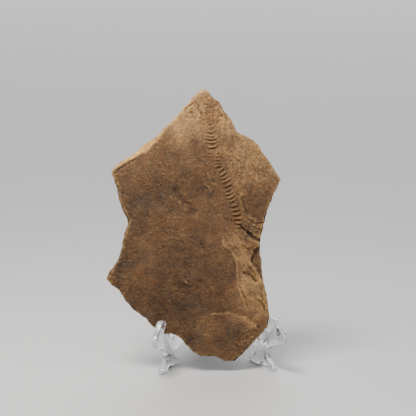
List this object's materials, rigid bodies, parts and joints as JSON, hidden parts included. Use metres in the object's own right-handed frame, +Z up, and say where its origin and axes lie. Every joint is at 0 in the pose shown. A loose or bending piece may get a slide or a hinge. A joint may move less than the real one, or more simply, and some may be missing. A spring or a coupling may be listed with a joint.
{
  "type": "trilobite trackway slab on a clear easel",
  "caption": "Thin irregular slab of brown sandstone with a trilobite trackway in low relief, leaning back in a small clear plastic easel of slotted side plates.",
  "frame": {"origin": "on the surface that the easel stands on, under the middle of the whole object's box", "axes": "+Z up, the slab's marked face towards -Y, +X to the right of somebody who faces it"},
  "size_m": [0.1006, 0.0926, 0.159],
  "materials": {
    "sandstone": "dry, fine-grained, iron-stained sandstone",
    "clear_plastic": "clear moulded plastic with polished edges"
  },
  "bodies": {
    "root": {"sandstone_slab": "sandstone", "stand_plate_left": "clear_plastic", "stand_plate_right": "clear_plastic"}
  },
  "joints": []
}
